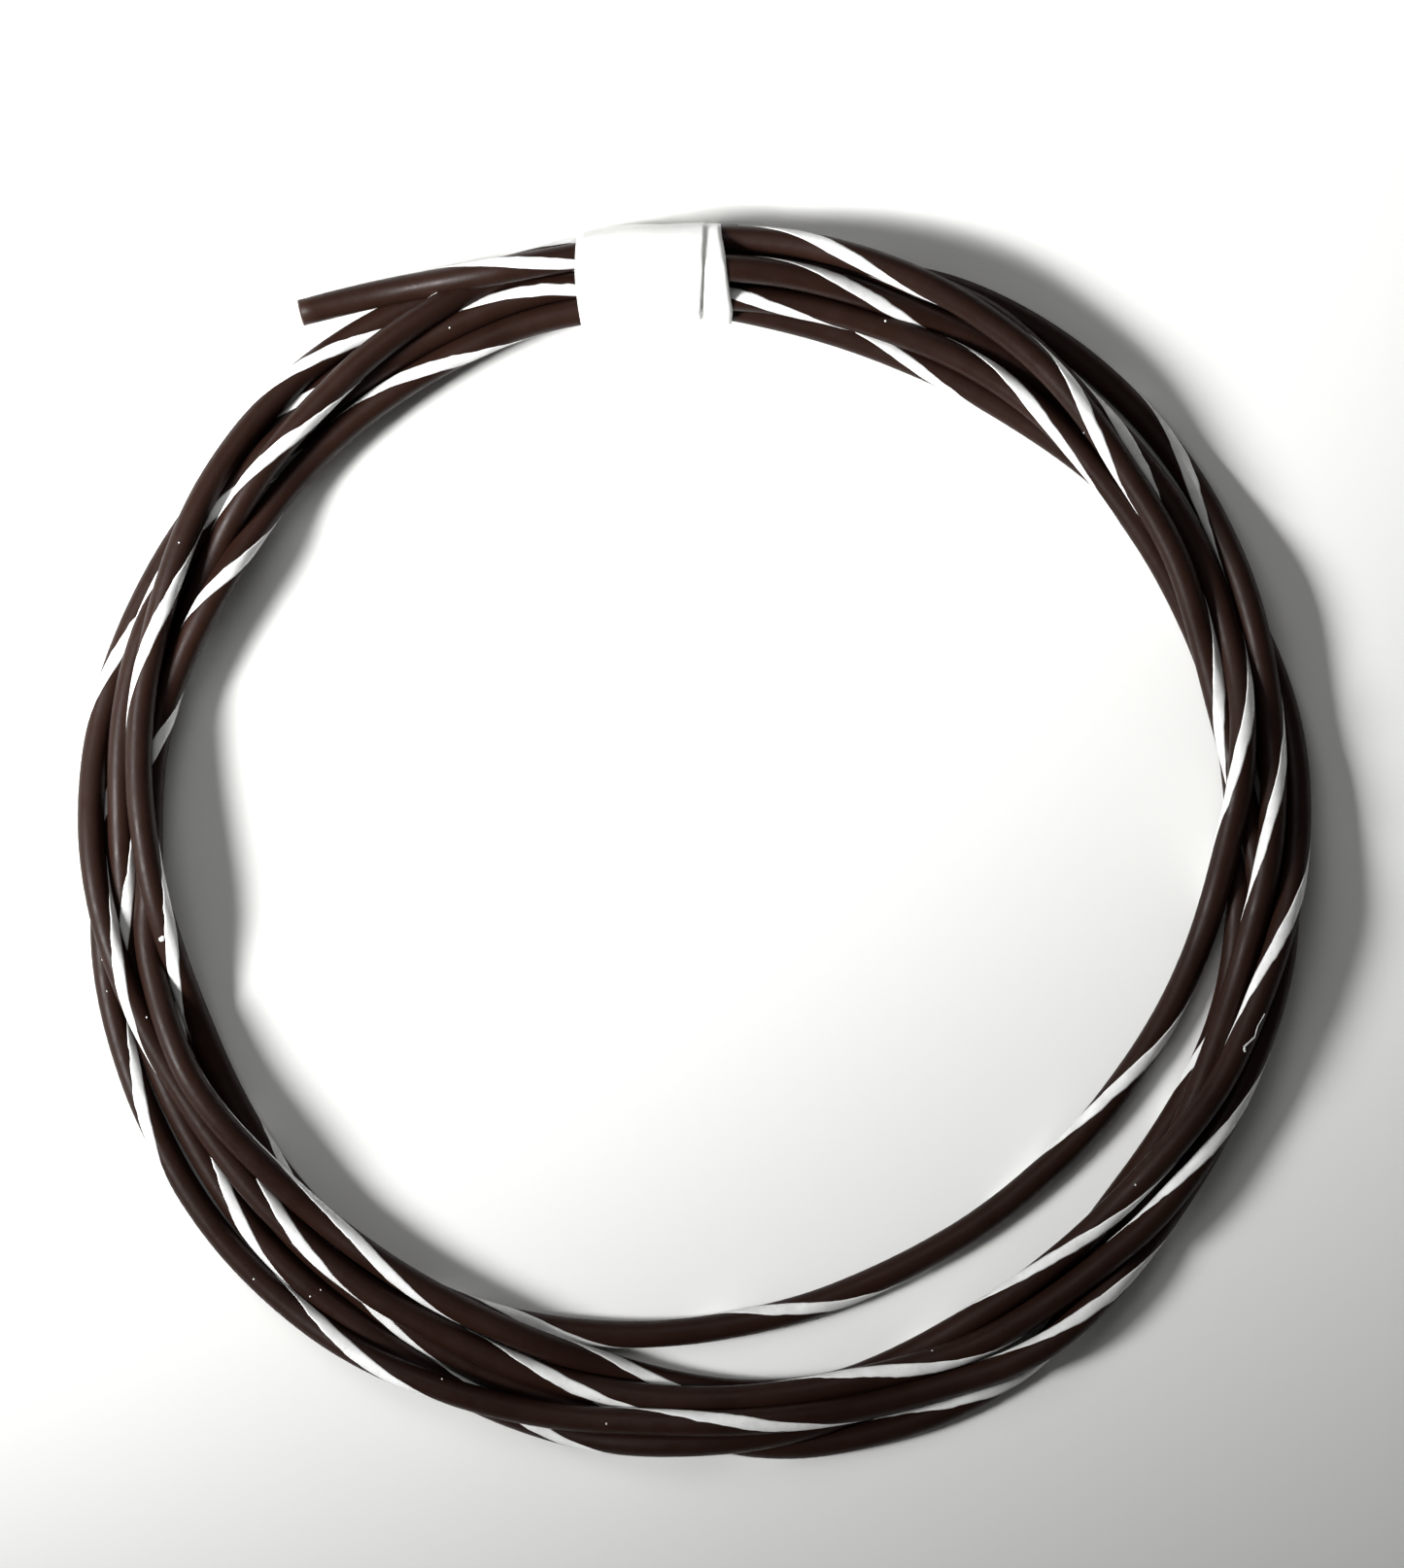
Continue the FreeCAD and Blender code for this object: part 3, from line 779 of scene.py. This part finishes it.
def add_blob(x, y, size):
    """A thin ragged blob lying on the wire's skin."""
    ragged = 1 + random.uniform(-BLOB_RAGGED, BLOB_RAGGED, BLOB_SIDES)
    place, normal = surface_under(x, y)
    if place is None:
        return
    side = normal.orthogonal().normalized()
    other = normal.cross(side)
    first = len(speck_points)
    speck_points.append(place + normal * BLOB_TOP)
    for height, shrink in BLOB_RINGS:
        for k in range(BLOB_SIDES):
            turn = 2 * math.pi * k / BLOB_SIDES
            arm = (side * math.cos(turn) + other * math.sin(turn)) * size / 2 * shrink * float(ragged[k])
            speck_points.append(place + arm + normal * height * MM)
    upper = first + 1
    lower = upper + BLOB_SIDES
    for k in range(BLOB_SIDES):
        n = (k + 1) % BLOB_SIDES
        speck_faces.append((first, upper + k, upper + n))
        speck_faces.append((upper + k, lower + k, lower + n, upper + n))
    speck_faces.append(tuple(lower + k for k in range(BLOB_SIDES))[::-1])


for clock, distance, size in SPECKS:
    turn = math.radians(clock)
    add_blob(distance * MM * math.sin(turn), distance * MM * math.cos(turn), size * MM)
for clock_a, distance_a, clock_b, distance_b, width in STROKES:
    length = math.hypot((clock_b - clock_a) * math.pi / 180 * distance_a, distance_b - distance_a)
    steps = max(2, int(length / (0.5 * width)))
    for step in range(steps + 1):
        share = step / steps
        turn = math.radians(clock_a + (clock_b - clock_a) * share)
        distance = (distance_a + (distance_b - distance_a) * share) * MM
        add_blob(distance * math.sin(turn), distance * math.cos(turn), width * MM * random.uniform(0.8, 1.2))
# White blobs in the stripe's ink: paint specks, and three painted highlights
specks_and_painted_highlights = new_piece("specks_and_painted_highlights", speck_points, speck_faces, [tracer])

# ---------------------------------------------------------------- floor and light
FLOOR_HALF = 2.5
floor_mesh = bpy.data.meshes.new("floor")
floor_mesh.from_pydata([
    (-FLOOR_HALF, -FLOOR_HALF, 0), (FLOOR_HALF, -FLOOR_HALF, 0),
    (FLOOR_HALF, FLOOR_HALF, 0), (-FLOOR_HALF, FLOOR_HALF, 0),
], [], [(0, 1, 2, 3)])
floor_paint, _, _ = material("floor_pale", (0.86, 0.86, 0.84), 0.9, specular=0.1)
floor_mesh.materials.append(floor_paint)
floor_object = bpy.data.objects.new("floor", floor_mesh)
bpy.context.scene.collection.objects.link(floor_object)

# name, place, what it is aimed at, size, power in watts, spread in degrees
LIGHTS = [
    ("key", (-0.62, -0.08, 0.45), (-0.15, 0.13, 0.0), 0.24, 1.75, 47.0),
    ("top", (-0.15, 0.30, 0.60), (0.0, 0.0, 0.0), 0.40, 0.8, 180.0),
]
for name, place, aim, size, power, spread in LIGHTS:
    light_data = bpy.data.lights.new(name, "AREA")
    light_data.shape = "SQUARE"
    light_data.size = size
    light_data.energy = power
    light_data.spread = math.radians(spread)
    light = bpy.data.objects.new(name, light_data)
    light.location = place
    light.rotation_mode = "QUATERNION"
    light.rotation_quaternion = (Vector(aim) - Vector(place)).to_track_quat("-Z", "Y")
    bpy.context.scene.collection.objects.link(light)
world = bpy.data.worlds.new("studio")
world.use_nodes = True
world.node_tree.nodes["Background"].inputs["Color"].default_value = (1.0, 1.0, 0.98, 1)
world.node_tree.nodes["Background"].inputs["Strength"].default_value = 0.08
bpy.context.scene.world = world
bpy.context.scene.view_settings.view_transform = "Standard"
